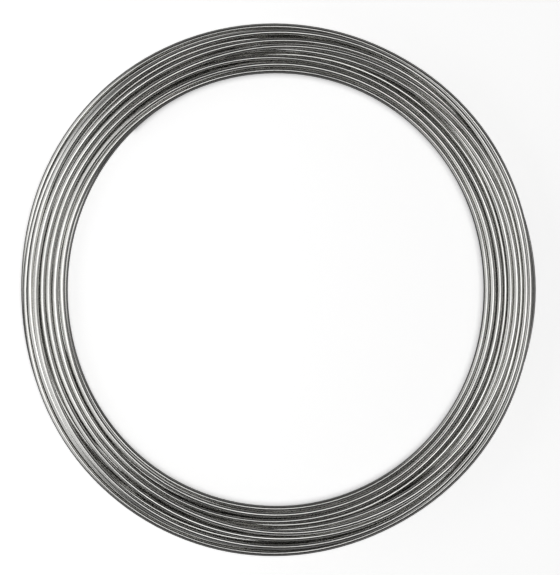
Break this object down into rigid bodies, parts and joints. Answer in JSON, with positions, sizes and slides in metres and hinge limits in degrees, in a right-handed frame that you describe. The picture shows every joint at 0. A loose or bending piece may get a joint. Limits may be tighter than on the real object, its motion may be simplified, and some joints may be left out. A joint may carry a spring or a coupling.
{
  "type": "coil of galvanized steel wire",
  "caption": "Round galvanized steel wire wound into a flat ring with a wide open bore, stock wire for tying, fencing and garden work.",
  "frame": {"origin": "middle of the ring, on the floor that the coil lies on", "axes": "+Z is the axis of the ring, upwards; +X is to the right and +Y up the picture, as the picture looks down"},
  "size_m": [0.256, 0.256, 0.0134],
  "materials": {
    "galvanized_wire": "drawn zinc, satin"
  },
  "bodies": {
    "root": {"wire_coil": "galvanized_wire"}
  },
  "joints": []
}
